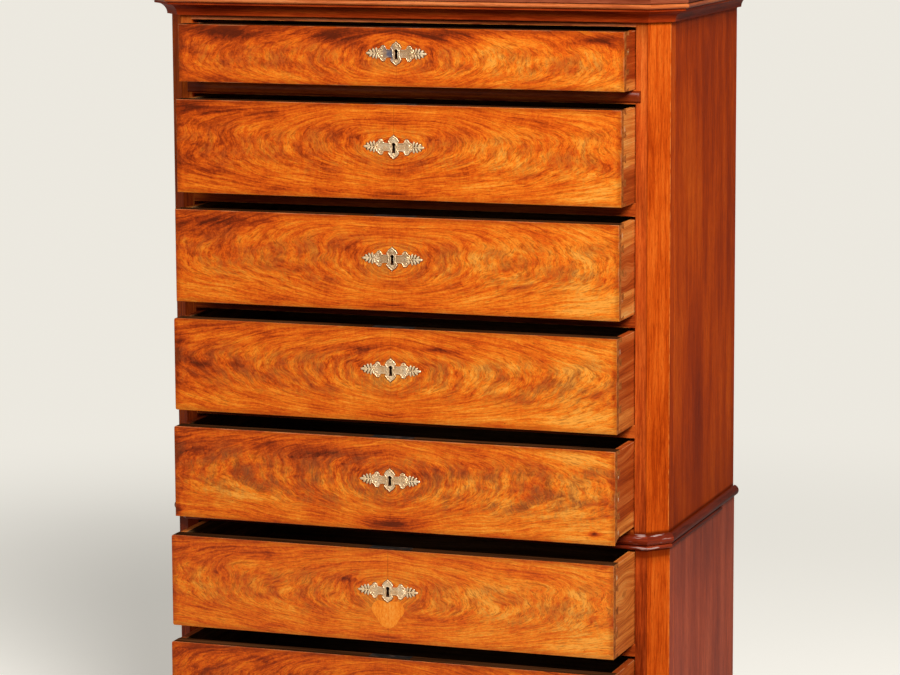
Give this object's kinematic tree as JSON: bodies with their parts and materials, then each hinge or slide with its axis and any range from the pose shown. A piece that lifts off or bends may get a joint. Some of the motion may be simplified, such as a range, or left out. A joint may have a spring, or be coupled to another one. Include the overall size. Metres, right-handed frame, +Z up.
{
  "type": "semainier",
  "caption": "Tall mahogany chest of drawers, an upper case on a lower one, with canted corners; drawers slide on runners and lock with an upward bolt.",
  "frame": {"origin": "on the floor, at the middle of the case's width and depth", "axes": "+Z up, the drawer fronts face -Y, +X to the right as seen from the front"},
  "size_m": [0.968, 0.5946, 1.396],
  "materials": {
    "mahogany_veneer": "french polished flame veneer",
    "mahogany_post": "french polished, straight grain",
    "mahogany_side": "polished, darker straight grain",
    "mahogany_moulding": "polished, dark red brown",
    "drawer_pine": "stained, waxed",
    "case_pine": "unfinished, darkened",
    "brass": "pressed, worn gilding",
    "lock_iron": "dark wrought iron"
  },
  "bodies": {
    "carcase": {"upper_side_panels": "mahogany_side", "lower_side_panels": "mahogany_side", "corner_posts": "mahogany_post", "drawer_rails": "mahogany_post", "drawer_runners": "case_pine", "case_boards": "case_pine", "back_boards": "case_pine", "top_board": "mahogany_moulding", "cornice": "mahogany_moulding", "bead_mouldings": "mahogany_moulding", "plinth": "mahogany_moulding"},
    "drawer_1": {"drawer_1_front": "mahogany_veneer", "drawer_1_sides": "drawer_pine", "drawer_1_back": "drawer_pine", "drawer_1_bottom": "drawer_pine", "drawer_1_escutcheon": "brass", "drawer_1_lock": "lock_iron"},
    "drawer_1_bolt": {"drawer_1_lock_bolt": "lock_iron"},
    "drawer_2": {"drawer_2_front": "mahogany_veneer", "drawer_2_sides": "drawer_pine", "drawer_2_back": "drawer_pine", "drawer_2_bottom": "drawer_pine", "drawer_2_escutcheon": "brass", "drawer_2_lock": "lock_iron"},
    "drawer_2_bolt": {"drawer_2_lock_bolt": "lock_iron"},
    "drawer_3": {"drawer_3_front": "mahogany_veneer", "drawer_3_sides": "drawer_pine", "drawer_3_back": "drawer_pine", "drawer_3_bottom": "drawer_pine", "drawer_3_escutcheon": "brass", "drawer_3_lock": "lock_iron"},
    "drawer_3_bolt": {"drawer_3_lock_bolt": "lock_iron"},
    "drawer_4": {"drawer_4_front": "mahogany_veneer", "drawer_4_sides": "drawer_pine", "drawer_4_back": "drawer_pine", "drawer_4_bottom": "drawer_pine", "drawer_4_escutcheon": "brass", "drawer_4_lock": "lock_iron"},
    "drawer_4_bolt": {"drawer_4_lock_bolt": "lock_iron"},
    "drawer_5": {"drawer_5_front": "mahogany_veneer", "drawer_5_sides": "drawer_pine", "drawer_5_back": "drawer_pine", "drawer_5_bottom": "drawer_pine", "drawer_5_escutcheon": "brass", "drawer_5_lock": "lock_iron"},
    "drawer_5_bolt": {"drawer_5_lock_bolt": "lock_iron"},
    "drawer_6": {"drawer_6_front": "mahogany_veneer", "drawer_6_sides": "drawer_pine", "drawer_6_back": "drawer_pine", "drawer_6_bottom": "drawer_pine", "drawer_6_escutcheon": "brass", "drawer_6_lock": "lock_iron"},
    "drawer_6_bolt": {"drawer_6_lock_bolt": "lock_iron"},
    "drawer_7": {"drawer_7_front": "mahogany_veneer", "drawer_7_sides": "drawer_pine", "drawer_7_back": "drawer_pine", "drawer_7_bottom": "drawer_pine", "drawer_7_escutcheon": "brass", "drawer_7_lock": "lock_iron"},
    "drawer_7_bolt": {"drawer_7_lock_bolt": "lock_iron"}
  },
  "joints": [
    {"name": "drawer_1_slide", "type": "slide", "parent": "carcase", "child": "drawer_1", "axis": [0, -1, 0], "range_m": [-0.062, 0.258]},
    {"name": "drawer_1_bolt_slide", "type": "slide", "parent": "drawer_1", "child": "drawer_1_bolt", "axis": [0, 0, 1], "range_m": [0, 0.01]},
    {"name": "drawer_2_slide", "type": "slide", "parent": "carcase", "child": "drawer_2", "axis": [0, -1, 0], "range_m": [-0.077, 0.243]},
    {"name": "drawer_2_bolt_slide", "type": "slide", "parent": "drawer_2", "child": "drawer_2_bolt", "axis": [0, 0, 1], "range_m": [0, 0.01]},
    {"name": "drawer_3_slide", "type": "slide", "parent": "carcase", "child": "drawer_3", "axis": [0, -1, 0], "range_m": [-0.0885, 0.2315]},
    {"name": "drawer_3_bolt_slide", "type": "slide", "parent": "drawer_3", "child": "drawer_3_bolt", "axis": [0, 0, 1], "range_m": [0, 0.01]},
    {"name": "drawer_4_slide", "type": "slide", "parent": "carcase", "child": "drawer_4", "axis": [0, -1, 0], "range_m": [-0.1, 0.22]},
    {"name": "drawer_4_bolt_slide", "type": "slide", "parent": "drawer_4", "child": "drawer_4_bolt", "axis": [0, 0, 1], "range_m": [0, 0.01]},
    {"name": "drawer_5_slide", "type": "slide", "parent": "carcase", "child": "drawer_5", "axis": [0, -1, 0], "range_m": [-0.108, 0.212]},
    {"name": "drawer_5_bolt_slide", "type": "slide", "parent": "drawer_5", "child": "drawer_5_bolt", "axis": [0, 0, 1], "range_m": [0, 0.01]},
    {"name": "drawer_6_slide", "type": "slide", "parent": "carcase", "child": "drawer_6", "axis": [0, -1, 0], "range_m": [-0.122, 0.198]},
    {"name": "drawer_6_bolt_slide", "type": "slide", "parent": "drawer_6", "child": "drawer_6_bolt", "axis": [0, 0, 1], "range_m": [0, 0.01]},
    {"name": "drawer_7_slide", "type": "slide", "parent": "carcase", "child": "drawer_7", "axis": [0, -1, 0], "range_m": [-0.129, 0.191]},
    {"name": "drawer_7_bolt_slide", "type": "slide", "parent": "drawer_7", "child": "drawer_7_bolt", "axis": [0, 0, 1], "range_m": [0, 0.01]}
  ]
}
